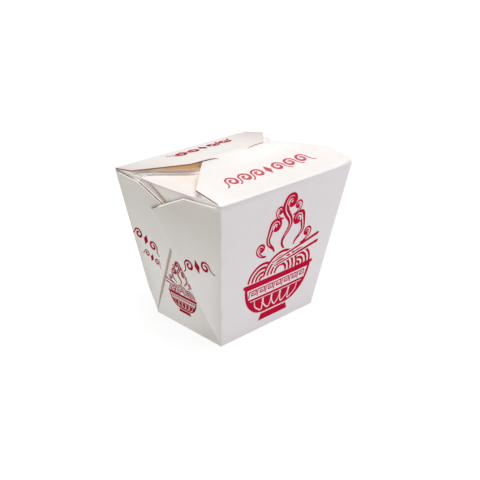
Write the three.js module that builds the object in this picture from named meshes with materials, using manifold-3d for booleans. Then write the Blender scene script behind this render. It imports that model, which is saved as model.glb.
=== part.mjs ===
// A shut noodle takeaway box, folded from one sheet of coated board.
//
// The box widens upwards from a flat rectangular base.  Its wide walls face -Y (front) and +Y
// (rear).  At each narrow side, -X and +X, the sheet's spare corners are folded double into webs
// that lie on the side wall: the rear web first, and the front web over it, its tip springing off.
// On top, two small flaps fold in from the narrow sides.  The front flap closes over them, and
// the rear flap lies on the front one and locks into its slit with a tongue.
//
// Millimetres, +Z up.  The origin is the middle of the base's underside.  The box is shut, so it
// is one solid: the board shows as relief and as free edges, and what lies inside is filled.

import * as THREE from "three";
import { mergeVertices } from "three/addons/utils/BufferGeometryUtils.js";
import Module from "manifold-3d";

const wasm = await Module();
wasm.setup();

// ---- driving dimensions ----------------------------------------------------------------------

const BASE_WIDTH = 70;
const BASE_DEPTH = 52;
const TOP_WIDTH = 95;
const TOP_DEPTH = 80;
const HEIGHT = 85;
const BOARD = 0.5;                  // thickness of the board as it shows at a free edge

const WALL_CROWN = 0.5;             // how far a wide wall bellies out in its middle
const BASE_ROLL = 0.5;              // rounding of the fold round the base

const WEB_LAYERS = 2;               // a web is folded double
const WEB_CORNER_REACH = 17.5;      // a web's upper corner, from the box's middle plane
const WEB_CORNER_DROP = 2.5;        // and how far that corner lies below the top fold
const WEB_TIP_REACH = 10;           // a web's tip, past the middle plane
const WEB_TIP_DROP = 15.5;
const WEB_SKEW = 3.5;               // the webs are folded a little off the middle, to the rear
const WEB_START = 1;                // height where a web begins, above the fold round the base
const WEB_SPREAD = 20;              // height at which it has opened to its full thickness
const TIP_SPRING = 1.5;             // how far the front web's tip stands off

const FLAP_SIDE = 18;               // straight side of the front flap, from its fold
const REAR_FLAP_SIDE = 14.5;
const FRONT_FLAP_REACH = 47;        // the front flap's whole length, most of it in sight
const REAR_FLAP_REACH = 37;         // the rear flap's length up to its shoulders
const LOCK_CENTRE = -1.3;           // the lock sits a little left of the middle
const SHOULDER_HALF = 26;           // half width of the rear flap's front edge
const TONGUE_HALF = 11.7;
const TONGUE_LENGTH = 7;
const TONGUE_DIP = 0.8;             // how far the tongue dives, to lie inside the slit

const SCORE_CORNER = 18.2;          // where the score across a small flap leaves its fold
const SCORE_END = 1.4;              // and where it ends, under the lid
const SCORE_REACH = 20.5;           // that end's distance from the fold
const SCORE_RISE = 0.95;            // the small flaps are bent up behind their scores
const FLAP_OVERHANG = 9;            // how far the lid flaps reach past what fills the box
const FOLD_MARGIN = 3;              // and how far that filling stops short of their folds

// ---- derived ---------------------------------------------------------------------------------

const HALF_BASE = new THREE.Vector2(BASE_WIDTH / 2, BASE_DEPTH / 2);
const HALF_TOP = new THREE.Vector2(TOP_WIDTH / 2, TOP_DEPTH / 2);
const SIDE_FLARE = HALF_TOP.x - HALF_BASE.x;
const SIDE_LENGTH = Math.hypot(HEIGHT, SIDE_FLARE);
const WEB_THICKNESS = WEB_LAYERS * BOARD;
const SUNK = 0.3;                   // how deep a sheet is let into what it is joined to

// 0 at start, 1 at end, smooth between them; start may be the larger one
function smooth(start, end, value) {
  const t = THREE.MathUtils.clamp((value - start) / (end - start), 0, 1);
  return t * t * (3 - 2 * t);
}

// ---- solids ----------------------------------------------------------------------------------

function toManifold(geometry) {
  const bare = geometry.clone();
  bare.deleteAttribute("normal");
  bare.deleteAttribute("uv");
  const merged = mergeVertices(bare, 1e-4);
  return new wasm.Manifold(new wasm.Mesh({
    numProp: 3,
    vertProperties: new Float32Array(merged.attributes.position.array),
    triVerts: new Uint32Array(merged.index.array),
  }));
}

function toGeometry(solid) {
  const mesh = solid.getMesh();
  const geometry = new THREE.BufferGeometry();
  geometry.setAttribute("position", new THREE.BufferAttribute(mesh.vertProperties, 3));
  geometry.setIndex(new THREE.BufferAttribute(mesh.triVerts, 1));
  geometry.computeVertexNormals();
  return geometry;
}

// A closed block over a rectangle of the (u, v) plane, between two height functions.
function bentBlock(uRange, vRange, steps, lower, upper) {
  const [columns, rows] = steps;
  const across = columns + 1;
  const layer = across * (rows + 1);
  const positions = [];
  for (const height of [lower, upper]) {
    for (let row = 0; row <= rows; row += 1) {
      for (let column = 0; column <= columns; column += 1) {
        const u = THREE.MathUtils.lerp(uRange[0], uRange[1], column / columns);
        const v = THREE.MathUtils.lerp(vRange[0], vRange[1], row / rows);
        positions.push(u, v, height(u, v));
      }
    }
  }
  const faces = [];
  const quad = (a, b, c, d) => faces.push(a, b, c, a, c, d);
  for (let row = 0; row < rows; row += 1) {
    for (let column = 0; column < columns; column += 1) {
      const a = row * across + column;
      quad(a, a + across, a + across + 1, a + 1);
      quad(layer + a, layer + a + 1, layer + a + across + 1, layer + a + across);
    }
  }
  const rim = [];
  for (let column = 0; column < columns; column += 1) rim.push(column);
  for (let row = 0; row < rows; row += 1) rim.push(row * across + columns);
  for (let column = columns; column > 0; column -= 1) rim.push(rows * across + column);
  for (let row = rows; row > 0; row -= 1) rim.push(row * across);
  rim.forEach((a, i) => {
    const b = rim[(i + 1) % rim.length];
    quad(a, b, layer + b, layer + a);
  });
  const geometry = new THREE.BufferGeometry();
  geometry.setAttribute("position", new THREE.Float32BufferAttribute(positions, 3));
  geometry.setIndex(faces);
  return geometry;
}

// A straight cut through the sheet: the outline in the (u, v) plane, from one height to another.
function cutOut(outline, from, to) {
  const shape = new THREE.Shape(outline.map(([u, v]) => new THREE.Vector2(u, v)));
  const geometry = new THREE.ExtrudeGeometry(shape, { depth: to - from, bevelEnabled: false });
  geometry.translate(0, 0, from);
  return geometry;
}

function mirrored(geometry) {
  const copy = geometry.clone();
  copy.scale(-1, 1, 1);
  const index = copy.index.array;
  for (let i = 0; i < index.length; i += 3) [index[i], index[i + 1]] = [index[i + 1], index[i]];
  return copy;
}

// ---- body ------------------------------------------------------------------------------------

function bodyRing(share, inset) {
  const half = HALF_BASE.clone().lerp(HALF_TOP, share).subScalar(inset);
  const crown = WALL_CROWN * Math.sin(Math.PI * share);
  const along = 12;
  const up = 6;
  const ring = [];
  for (let i = 0; i < along; i += 1) {
    const u = i / along;
    ring.push([THREE.MathUtils.lerp(-half.x, half.x, u), -half.y - crown * Math.sin(Math.PI * u)]);
  }
  for (let i = 0; i < up; i += 1) ring.push([half.x, THREE.MathUtils.lerp(-half.y, half.y, i / up)]);
  for (let i = 0; i < along; i += 1) {
    const u = i / along;
    ring.push([THREE.MathUtils.lerp(half.x, -half.x, u), half.y + crown * Math.sin(Math.PI * u)]);
  }
  for (let i = 0; i < up; i += 1) ring.push([-half.x, THREE.MathUtils.lerp(half.y, -half.y, i / up)]);
  return ring;
}

function body() {
  const levels = 12;
  const rings = [{ z: 0, ring: bodyRing(0, BASE_ROLL) }];
  rings.push({ z: BASE_ROLL, ring: bodyRing(BASE_ROLL / HEIGHT, 0) });
  for (let i = 1; i <= levels; i += 1) {
    rings.push({ z: (HEIGHT * i) / levels, ring: bodyRing(i / levels, 0) });
  }
  const count = rings[0].ring.length;
  const positions = rings.flatMap(({ z, ring }) => ring.flatMap(([x, y]) => [x, y, z]));
  const faces = [];
  for (let level = 0; level < rings.length - 1; level += 1) {
    for (let i = 0; i < count; i += 1) {
      const a = level * count + i;
      const b = level * count + ((i + 1) % count);
      faces.push(a, b, b + count, a, b + count, a + count);
    }
  }
  const foot = positions.length / 3;
  positions.push(0, 0, 0, 0, 0, HEIGHT);
  const last = (rings.length - 1) * count;
  for (let i = 0; i < count; i += 1) {
    const next = (i + 1) % count;
    faces.push(foot, next, i);
    faces.push(foot + 1, last + i, last + next);
  }
  const geometry = new THREE.BufferGeometry();
  geometry.setAttribute("position", new THREE.Float32BufferAttribute(positions, 3));
  geometry.setIndex(faces);
  return toManifold(geometry);
}

// ---- webs on a narrow side -------------------------------------------------------------------
//
// A narrow side's own plane has u = -y across, v up the slope from the base and w outwards.

function sidePlane() {
  const up = new THREE.Vector3(-SIDE_FLARE, 0, HEIGHT).normalize();
  const out = new THREE.Vector3(-HEIGHT, 0, -SIDE_FLARE).normalize();
  const across = new THREE.Vector3(0, -1, 0);
  const plane = new THREE.Matrix4().makeBasis(across, up, out);
  return plane.setPosition(-HALF_BASE.x, 0, 0);
}

// toward is +1 for the front web and -1 for the rear one, whose corner lies at negative u
function webOutline(toward) {
  return [
    [toward * HALF_BASE.y, WEB_START],
    [toward * HALF_TOP.y, SIDE_LENGTH],
    [toward * WEB_CORNER_REACH - WEB_SKEW, SIDE_LENGTH - WEB_CORNER_DROP],
    [-toward * WEB_TIP_REACH - WEB_SKEW, SIDE_LENGTH - WEB_TIP_DROP],
  ];
}

// where the fold of the web on the given side runs at height v
function foldAt(toward, v) {
  const share = v / (SIDE_LENGTH - WEB_TIP_DROP);
  return THREE.MathUtils.lerp(toward * HALF_BASE.y, -toward * WEB_TIP_REACH - WEB_SKEW, share);
}

function rearWebFace(u, v) {
  return WEB_THICKNESS * smooth(0, WEB_SPREAD, v);
}

function tipSpring(u, v) {
  return TIP_SPRING * smooth(5, -WEB_TIP_REACH - WEB_SKEW, u) * smooth(50, 70, v);
}

function frontWebFace(u, v) {
  const overRear = smooth(5, 0, u - foldAt(-1, v));
  return rearWebFace(u, v) + WEB_THICKNESS * overRear + tipSpring(u, v);
}

function frontWebBack(u, v) {
  const lifted = smooth(0, 1.2, tipSpring(u, v));
  return THREE.MathUtils.lerp(-SUNK, frontWebFace(u, v) - WEB_THICKNESS, lifted);
}

function webSheet(toward, back, face) {
  const sheet = bentBlock([-HALF_TOP.y, HALF_TOP.y], [0, SIDE_LENGTH], [24, 20], back, face);
  const cut = cutOut(webOutline(toward), -2 * SUNK, 2 * WEB_THICKNESS + TIP_SPRING + 1);
  const web = toManifold(sheet).intersect(toManifold(cut));
  return toGeometry(web).applyMatrix4(sidePlane());
}

function webs() {
  const sheets = [
    webSheet(-1, () => -SUNK, rearWebFace),
    webSheet(1, frontWebBack, frontWebFace),
  ];
  return sheets.concat(sheets.map(mirrored)).map(toManifold);
}

// ---- lid -------------------------------------------------------------------------------------
//
// The flaps spring up from their folds, a little more on the right than on the left.

const rightness = (x) => (x / HALF_TOP.x + 1) / 2;

function frontFlapTop(x, y) {
  const reach = Math.max(y + HALF_TOP.y, 0);
  const right = rightness(x);
  const fold = (0.2 + 1.8 * right * right) * (1 - Math.exp(-reach / 0.8));
  const turn = Math.min(reach / (40 + 4 * right), 1) * (Math.PI / 2);
  const rise = (5.4 + 0.5 * right) * Math.sin(turn) ** (1.15 - 0.15 * right);
  return HEIGHT + fold + rise;
}

function rearFlapSlope(x, y) {
  const reach = Math.max(HALF_TOP.y - y, 0);
  const right = rightness(x);
  const fold = (0.9 * right - 0.3) * (1 - Math.exp(-reach));
  const slope = 0.155 + 0.03 * Math.sin((Math.PI / 2) * right);
  return HEIGHT + fold + slope * reach;
}

// how far a point is inside the width of the tongue, from 0 beside it to 1 on it
function onTongue(x) {
  return smooth(TONGUE_HALF + 1.5, TONGUE_HALF - 1.5, Math.abs(x - LOCK_CENTRE));
}

function shoulderLine() {
  return HALF_TOP.y - REAR_FLAP_REACH;
}

function rearFlapTop(x, y) {
  const dive = TONGUE_DIP * smooth(shoulderLine() + 3, shoulderLine() - 3, y) * onTongue(x);
  return rearFlapSlope(x, y) - dive;
}

// the tongue is filled down to what lies under the slit
function rearFlapUnder(x, y) {
  const filled = onTongue(x) * smooth(shoulderLine() + 4, shoulderLine(), y);
  return rearFlapTop(x, y) - BOARD - 2 * filled;
}

// the front flap passes under the rear one and is held down by it
function tuckedFrontFlapTop(x, y) {
  const under = rearFlapSlope(x, y) - BOARD;
  return THREE.MathUtils.lerp(frontFlapTop(x, y), Math.min(frontFlapTop(x, y), under),
    smooth(0, 3, y));
}

function frontFlapOutline(inset) {
  const fold = -HALF_TOP.y + FOLD_MARGIN * (inset > 0);
  const side = HALF_TOP.x - inset;
  const end = FRONT_FLAP_REACH - HALF_TOP.y - inset;
  const slant = FRONT_FLAP_REACH - FLAP_SIDE;
  const corner = FLAP_SIDE - HALF_TOP.y - inset * Math.tan(Math.PI / 8);
  return [[-side, fold], [side, fold], [side, corner], [side - slant, end], [slant - side, end],
    [-side, corner]];
}

function rearFlapOutline(inset) {
  const fold = HALF_TOP.y - FOLD_MARGIN * (inset > 0);
  const side = HALF_TOP.x - inset;
  const corner = HALF_TOP.y - REAR_FLAP_SIDE + inset * Math.tan(Math.PI / 8);
  const front = shoulderLine() + inset;
  const shoulder = SHOULDER_HALF - inset;
  return [[side, fold], [-side, fold], [-side, corner], [LOCK_CENTRE - shoulder, front],
    [LOCK_CENTRE + shoulder, front], [side, corner]];
}

function tongueOutline() {
  const root = shoulderLine() + 1;
  const tip = shoulderLine() - TONGUE_LENGTH;
  const left = LOCK_CENTRE - TONGUE_HALF;
  const right = LOCK_CENTRE + TONGUE_HALF;
  return [[left, root], [left, tip + 3], [left + 3, tip], [right - 3, tip], [right, tip + 3],
    [right, root]];
}

function lidSheet(outlines, top, under) {
  const steps = [30, 26];
  const span = [[-HALF_TOP.x, HALF_TOP.x], [-HALF_TOP.y, HALF_TOP.y]];
  const sheet = toManifold(bentBlock(...span, steps, under, top));
  const cuts = outlines.map((outline) => toManifold(cutOut(outline, HEIGHT - 2, HEIGHT + 20)));
  return sheet.intersect(cuts.reduce((all, cut) => all.add(cut)));
}

// what fills the box under a flap, short of the flap's free edges
function underFlap(outline, top) {
  const span = [[-HALF_TOP.x, HALF_TOP.x], [-HALF_TOP.y, HALF_TOP.y]];
  const block = bentBlock(...span, [15, 13], () => HEIGHT - SUNK,
    (x, y) => top(x, y) - BOARD / 2);
  return toManifold(block).intersect(toManifold(cutOut(outline, 0, HEIGHT + 20)));
}

function lid() {
  return [
    lidSheet([frontFlapOutline(0)], tuckedFrontFlapTop, (x, y) => tuckedFrontFlapTop(x, y) - BOARD),
    lidSheet([rearFlapOutline(0), tongueOutline()], rearFlapTop, rearFlapUnder),
    underFlap(frontFlapOutline(FLAP_OVERHANG), tuckedFrontFlapTop),
    underFlap(rearFlapOutline(FLAP_OVERHANG), rearFlapTop),
  ];
}

// The part of the small flaps behind their scores, up to where the rear flap comes down on it.
function raisedFlaps() {
  const side = HALF_TOP.x - BOARD;
  const inner = side - SCORE_REACH;
  const back = HALF_TOP.y - FLAP_OVERHANG - 1;
  const outline = [[-side, SCORE_CORNER], [-inner, SCORE_END], [inner, SCORE_END],
    [side, SCORE_CORNER], [side, back], [-side, back]];
  return toManifold(cutOut(outline, HEIGHT - SUNK, HEIGHT + SCORE_RISE));
}

// ---- the box ---------------------------------------------------------------------------------

function takeawayBox() {
  return [body(), raisedFlaps(), ...webs(), ...lid()].reduce((all, sheet) => all.add(sheet));
}

const group = new THREE.Group();
const board = new THREE.MeshStandardMaterial({ color: 0xf3f1ee, roughness: 0.45, metalness: 0 });
const box = new THREE.Mesh(toGeometry(takeawayBox()), board);
box.name = "takeaway_box";
group.add(box);

export default group;
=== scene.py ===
"""A shut noodle takeaway box, folded from white-coated board and printed in crimson.

The visible box is made of thin bent sheets, as the real one is folded: a front sheet (base, front
wall, front webs and front flap), a rear sheet (rear wall, rear webs and rear flap with its tongue)
and a sheet for each narrow side (side wall and small flap).  Each sheet is laid out flat in (a, v),
where a runs across and v up the walls and on over the lid, and a place function bends it into
shape.  Lengths are millimetres until a mesh is made, in metres.
"""

from math import ceil, copysign, cos, exp, hypot, pi, radians, sin

import bpy
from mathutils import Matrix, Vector, kdtree
from mathutils.geometry import delaunay_2d_cdt


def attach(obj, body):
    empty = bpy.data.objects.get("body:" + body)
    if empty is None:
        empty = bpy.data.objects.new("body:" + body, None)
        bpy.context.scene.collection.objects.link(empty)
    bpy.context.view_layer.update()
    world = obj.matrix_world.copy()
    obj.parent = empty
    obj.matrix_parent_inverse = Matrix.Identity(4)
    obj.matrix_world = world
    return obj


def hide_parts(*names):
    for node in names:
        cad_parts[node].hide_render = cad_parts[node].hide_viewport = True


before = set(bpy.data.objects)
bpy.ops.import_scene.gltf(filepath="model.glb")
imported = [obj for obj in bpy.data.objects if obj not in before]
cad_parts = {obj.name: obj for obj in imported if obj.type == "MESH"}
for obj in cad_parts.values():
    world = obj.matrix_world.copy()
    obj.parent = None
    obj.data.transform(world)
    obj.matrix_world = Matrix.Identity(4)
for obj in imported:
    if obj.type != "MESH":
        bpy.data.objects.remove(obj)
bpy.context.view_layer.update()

MM = 0.001

# ---- the box's dimensions, as in the CAD source ----

HALF_BASE_X, HALF_BASE_Y = 70 / 2, 52 / 2
HALF_TOP_X, HALF_TOP_Y = 95 / 2, 80 / 2
HEIGHT = 85
BOARD = 0.45
LID_BOARD = 0.7  # thickness towards the flaps' ends, spread by cutting

WALL_CROWN = 0.5  # how far a wide wall bulges at half its height
WEB_THICKNESS = 1.0
WEB_CORNER_REACH = 17.5  # a web's corner: from the side's middle, below the top
WEB_CORNER_DROP = 2.5
WEB_TIP_REACH = 10  # its tip: past the side's middle, below the top
WEB_TIP_DROP = 15.5
FRONT_TIP_CUT = 0.8  # the front web's tip reaches this much less
WEB_SKEW = 3.5  # both webs of a side are moved to the rear
WEB_START = 1  # height of a web's foot
WEB_SPREAD = 20  # the folded board grows to its thickness over this
CORNER_SPREAD = 4.5  # and over this from the corner fold
INNER_START = 0.2  # share of the diagonal fold with no inner layer yet
TIP_SPRING = 0.25  # how far the front web's tip springs off

FLAP_SIDE = 18  # the front flap's short side edges
REAR_FLAP_SIDE = 14.5
FRONT_FLAP_REACH = 47
FRONT_FLAP_FAR = (-16, FRONT_FLAP_REACH - HALF_TOP_Y)  # the left end of its far edge
FRONT_FLAP_FAR_RIGHT = 20
REAR_FLAP_REACH = 37  # as far as its shoulders, beside the tongue
LOCK_CENTRE = -1.3
SHOULDER_HALF = 26
TONGUE_SIDES = (-12, 7.3)  # also the ends of the slit
TONGUE_LENGTH = 7

SMALL_FLAP_REACH = 36
SMALL_FLAP_END = 24  # half the width of its far end
SCORE_CORNER = (24.5, 20.9)  # where its front and rear score leave its crease
SCORE_SLANT = (0.817, 0.87)  # how fast they come together
SCORE_RISE = 0.95  # it is bent up along them
CREASE_SAG = 1.3  # its crease sags towards the rear

WEB_GAP = 0.06  # gaps between layers that lie on one another
LID_GAP = 0.05
TONGUE_GAP = 0.12
SMALL_FLAP_GAP = 0.06

FLARE_X, FLARE_Y = HALF_TOP_X - HALF_BASE_X, HALF_TOP_Y - HALF_BASE_Y
WALL = hypot(HEIGHT, FLARE_X)  # a narrow wall's length up its slope: v of the top fold
INNER_FOOT = (24, 17.5)  # corners of a web's hidden layer, beside the box's own corner fold
INNER_TOP = (35.2, WALL - 3)
FRONT_FLAP_NEAR = (-HALF_TOP_X, FLAP_SIDE - HALF_TOP_Y)  # its slanting left edge's start

BASE_FOLD = 0.5  # how far each fold's bend reaches
CORNER_FOLD = 0.6
LID_FOLD = 0.55
SMALL_FLAP_FOLD = 0.3
WEB_FOLD = WEB_THICKNESS / 2
EDGE = 0.62  # width of the bright strip along a web's free edge, a painted highlight
TIP_EDGE = 0.35  # width of the brown strip near the front web's tip: cut-edge brown with painted shade under the tip
TIP_LENGTH = 6.5  # and how far it reaches
BAND = (1.7, 0.9)  # widths of the tan band at a rear web's inner edge: its cut edge and painted contact shade
LINE = (0.25, 1.35)  # the bright line beside its outer layer's edge, a painted highlight
LINE_ENDS = (-0.5, 6)  # where its dark foot of painted shade and the line end, past the web's corner
SHADOW_STRIPE = (2.4, 3.4)  # the dark stripe beside the front flap's left edge

STEP = 2.6  # spacing of a sheet's points where it is plain
PRINT_STEP = 1.9
INK_HEIGHT = 0.03
SHARP = radians(38)  # steeper edges between faces aren't smoothed


# ---- camera ----

# Fitted to the box's corners in the photo.
CAMERA_TARGET = Vector((0, 0, HEIGHT / 2))
CAMERA_AZIMUTH = radians(-43.726)
CAMERA_ELEVATION = radians(23.647)
CAMERA_DISTANCE = 461.525
FOCAL_PIXELS = 845.821
PICTURE = 480
CENTRE_PIXEL = (235.307, 238.697)


def add_object(name, data):
    added = bpy.data.objects.new(name, data)
    bpy.context.scene.collection.objects.link(added)
    return added


def add_camera():
    data = bpy.data.cameras.new("camera")
    data.sensor_width = 36
    data.lens = FOCAL_PIXELS / PICTURE * data.sensor_width
    data.shift_x = (PICTURE / 2 - CENTRE_PIXEL[0]) / PICTURE
    data.shift_y = (CENTRE_PIXEL[1] - PICTURE / 2) / PICTURE
    data.clip_start = 0.01
    data.clip_end = 50
    camera = add_object("camera", data)
    flat = cos(CAMERA_ELEVATION)
    back = Vector((sin(CAMERA_AZIMUTH) * flat, -cos(CAMERA_AZIMUTH) * flat,
                   sin(CAMERA_ELEVATION)))
    camera.location = (CAMERA_TARGET + back * CAMERA_DISTANCE) * MM
    camera.rotation_euler = back.to_track_quat("Z", "Y").to_euler()
    bpy.context.scene.camera = camera


# ---- curves and blends ----

def smooth(start, end, value):
    """0 at start, 1 at end, smooth between them; start may be the larger one."""
    t = min(max((value - start) / (end - start), 0), 1)
    return t * t * (3 - 2 * t)


def mix(low, high, share):
    return low + (high - low) * share


def bend(before, after, q, reach):
    """The point at q on a path that turns from one surface to the next at q = 0."""
    if q <= -reach:
        return before(q)
    if q >= reach:
        return after(q)
    return (before(-(reach - q) ** 2 / (4 * reach)) + after((reach + q) ** 2 / (4 * reach))
            - after(0))


def left_of(along):
    return Vector((-along.y, along.x))


def behind(start, end, x, y):
    """How far a point lies to the left of the line from start to end."""
    along = (Vector(end) - Vector(start)).normalized()
    return (Vector((x, y)) - Vector(start)).dot(left_of(along))


def mirror(points):
    """The points' mirror image, in reverse order, so that an outline still runs round alike."""
    return [(-x, y) for x, y in reversed(points)]


# ---- where a sheet lies ----

def half_width(v):
    return HALF_BASE_X + FLARE_X * v / WALL


def half_depth(v):
    return HALF_BASE_Y + FLARE_Y * v / WALL


def web_thickness(v):
    return WEB_THICKNESS * smooth(0, WEB_SPREAD, v)


FACE, INSIDE, CUT, PALE, LID_INSIDE, TAN = range(6)  # a sheet's finishes


class Web:
    """A corner's spare board, folded double against the left side wall.

    In the side wall's plane u runs from the middle towards the web's own corner and v up the
    slope.  drop is how much lower the corner lies, inner where the hidden layer's free edge runs,
    from the tip and from the corner's top, and lift(u, v) how far the face stands off the wall.
    """

    def __init__(self, corner_u, tip_u, drop, inner, spread, lift):
        self.spread = spread  # 0: the corner fold hugs the side wall, 1: it stands off
        self.lift = lift
        self.foot = Vector((HALF_BASE_Y, WEB_START))
        self.tip = Vector((tip_u, WALL - WEB_TIP_DROP))
        self.corner = Vector((corner_u, WALL - WEB_CORNER_DROP - drop))
        self.top_corner = Vector((HALF_TOP_Y - 0.1, WALL - 0.25 - 1.4 * drop))
        self.inner_low = self.tip + Vector(inner[0])
        self.inner_high = Vector((self.corner.x + inner[1][0], WALL + inner[1][1]))
        self.beyond = left_of((self.tip - self.foot).normalized())

    def past_fold(self, point):
        return (Vector(point) - self.foot).dot(self.beyond)

    def turned(self, u, v):
        """Where a point of the flat web comes to lie, and how deep below the web's face."""
        past = self.past_fold((u, v))
        if past <= 0:
            return u, v, 0
        if past < pi * WEB_FOLD:
            angle = past / WEB_FOLD
            reach, depth = WEB_FOLD * sin(angle), (1 - cos(angle)) / 2
        else:
            reach, depth = pi * WEB_FOLD - past, 1
        u, v = Vector((u, v)) + (reach - past) * self.beyond
        return u, v, depth

    def unfolded(self, u, v):
        """The flat web's point that comes to lie at (u, v) in its hidden inner layer."""
        inside = -self.past_fold((u, v))
        return Vector((u, v)) + (2 * inside + pi * WEB_FOLD) * self.beyond

    def across(self, u, v):
        """The sheet's own coordinates (a, v) of the flat web's point (u, v)."""
        return self.corner_at(v) + half_depth(v) - u, v

    def corner_at(self, v):
        """How far from the middle the wide wall folds round its corner."""
        return half_width(v) + self.spread * web_thickness(v)

    def outline(self):
        """The web's free edge, from the foot of its corner fold round to the corner's top."""
        inner = [INNER_FOOT, INNER_TOP, self.inner_high, self.inner_low]
        start = self.foot.lerp(self.tip, INNER_START)
        turn = pi * WEB_FOLD * self.beyond
        flat = [self.foot, start, start + turn, *(self.unfolded(*point) for point in inner),
                self.tip + turn, self.tip + turn / 2, self.tip, self.corner, self.top_corner]
        return [self.across(*point) for point in flat]

    def settled(self, a, v):
        """Where a point of the sheet comes to lie in the side wall's plane, as (u, v, under)."""
        return self.turned(self.corner_at(v) + half_depth(v) - abs(a), v)

    def rim(self, a, v):
        """The finish of the cut edge: brown, or paler as a painted highlight where it catches
        light.
        """
        if abs(a) < self.corner_at(v) + 1 or v > WALL:
            if v < WALL + 0.5:
                return FACE
            return TAN if a > 8 and v > WALL + 30 else CUT
        u, v, under = self.settled(a, v)
        if self is FRONT_WEB:
            return CUT if u < self.tip.x + TIP_LENGTH else TAN
        if u > self.corner.x:
            return PALE if under > 0.5 else TAN
        return TAN if under > 0.5 or self.on_fold_shade_line(a, v) else CUT

    def on_fold_shade_line(self, a, v):
        """Whether a point lies on the tan line of painted shade along the diagonal fold."""
        u = self.corner_at(v) + half_depth(v) - abs(a)
        return abs(a) > self.corner_at(v) + 1 and -0.2 < self.past_fold((u, v)) < 1.4

    def face_finish(self, a, v):
        """The face's finish: a painted highlight along the free edge, tan painted shade at the rear
        web's fold.
        """
        u, height, under = self.settled(a, v)
        if self is REAR_WEB and self.on_fold_shade_line(a, v):
            return TAN
        if under > 0 or u > HALF_TOP_Y - 3:
            return FACE
        inside = -self.past_edge(u, height)
        if self is FRONT_WEB and u < self.tip.x + TIP_LENGTH:
            return CUT if inside < TIP_EDGE else FACE
        return PALE if inside < EDGE else FACE

    def past_edge(self, u, v):
        """How far a point lies outside the outer layer's free edge."""
        return max(behind(self.tip, self.corner, u, v),
                   behind(self.corner, self.top_corner, u, v))

    def edge_rows(self):
        """Rows just inside the outer layer's free edge."""
        rows = []
        for off in (EDGE, TIP_EDGE) if self is FRONT_WEB else (EDGE,):
            row = []
            for start, end, count in ((self.tip, self.corner, 14),
                                      (self.corner, self.top_corner, 12)):
                within = left_of(end - start).normalized() * -off
                row += [start.lerp(end, k / count) + within for k in range(1, count)]
            rows.append([self.across(*point) for point in row])
        return rows

    def inner_rows(self):
        """Rows along the strip of the hidden layer that shows, where its finish changes."""
        outer = (self.corner - self.tip).normalized()
        inner = (self.inner_high - self.inner_low).normalized()
        lines = [(self.tip + off * left_of(outer) + outer,
                  self.corner + off * left_of(outer) - outer) for off in LINE]
        lines.append((self.inner_low - left_of(inner) * BAND[0] + inner,
                      self.inner_high - left_of(inner) * BAND[1] - inner))
        return [[self.across(*self.unfolded(*start.lerp(end, k / 12))) for k in range(13)]
                for start, end in lines]

    def strip_finish(self, a, v):
        """The finish of the hidden layer's back: painted shade and highlight by the outer edge, tan
        at its own.
        """
        u, v, under = self.settled(a, v)
        if under < 0.9:
            return INSIDE
        past = self.past_edge(u, v)
        if past < LINE[1] and u < self.corner.x + LINE_ENDS[1]:
            return CUT if past < LINE[0] and u < self.corner.x + LINE_ENDS[0] else PALE
        edge = self.inner_high - self.inner_low
        share = (Vector((u, v)) - self.inner_low).dot(edge) / edge.length_squared
        to_edge = -behind(self.inner_low, self.inner_high, u, v)
        return TAN if to_edge < mix(*BAND, share) else INSIDE

    def fold_rows(self):
        """Lines along the diagonal fold, close together, so that its bend comes out round."""
        rows = []
        for past in (-0.25, 0, 0.26, 0.52, 0.79, 1.05, 1.31, 1.57, 1.8):
            shift = past * self.beyond
            first = INNER_START if past > 0 else 0.02
            rows.append([self.across(*(self.foot.lerp(self.tip, mix(first, 1, k / 24)) + shift))
                         for k in range(25)])
        return rows


def front_lift(u, v):
    """The front web lies over the rear one, inside the rear web's diagonal and its free edge."""
    rear_tip = WEB_TIP_REACH - WEB_SKEW  # u points forwards here
    diagonal = mix(-HALF_BASE_Y, rear_tip, v / (WALL - WEB_TIP_DROP))
    drop = (WEB_TIP_DROP - WEB_CORNER_DROP) / (WEB_CORNER_REACH + WEB_TIP_REACH)
    rear_edge = WALL - WEB_TIP_DROP + drop * (rear_tip - u)
    over_rear = smooth(4, 0, u - diagonal) * smooth(6, 2.5, v - rear_edge)
    spring = smooth(5, -WEB_TIP_REACH - WEB_SKEW, u) * smooth(50, 70, v)
    return web_thickness(v) + (WEB_THICKNESS + WEB_GAP) * over_rear + TIP_SPRING * spring


FRONT_WEB = Web(
    corner_u=WEB_CORNER_REACH - WEB_SKEW, tip_u=-WEB_TIP_REACH - WEB_SKEW + FRONT_TIP_CUT, drop=0,
    inner=((3.07, 1.52), (-0.3, -1.99)), spread=0, lift=front_lift)
REAR_WEB = Web(
    corner_u=WEB_CORNER_REACH + WEB_SKEW, tip_u=-WEB_TIP_REACH + WEB_SKEW, drop=0.8,
    inner=((5.1, 5), (-9, -1.7)), spread=1.4, lift=lambda u, v: web_thickness(v))


def wrap(a, v, web):
    """A wide wall with its webs bent round both corners, as if the wall faced -Y."""
    edge, depth, z = web.corner_at(v), half_depth(v), HEIGHT * v / WALL

    def wall(q):
        x = edge + q
        crown = WALL_CROWN * sin(pi * min(max(v / WALL, 0), 1))
        return Vector((x, -depth - crown * cos(pi / 2 * min(x / edge, 1)), z))

    def side(q):
        u, height, under = web.turned(depth - q, v)
        inward = smooth(0, CORNER_SPREAD, half_depth(height) - u)
        lift = web.lift(u, height) * mix(web.spread, 1, inward)
        off = lift - web_thickness(height) * under
        return Vector((half_width(height) + off, -u, HEIGHT * height / WALL))

    point = bend(wall, side, abs(a) - edge, CORNER_FOLD)
    return Vector((copysign(point.x, a), point.y, point.z))


def rightness(x):
    """0 at the lid's left end, 1 at its right end."""
    return (x / HALF_TOP_X + 1) / 2


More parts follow.
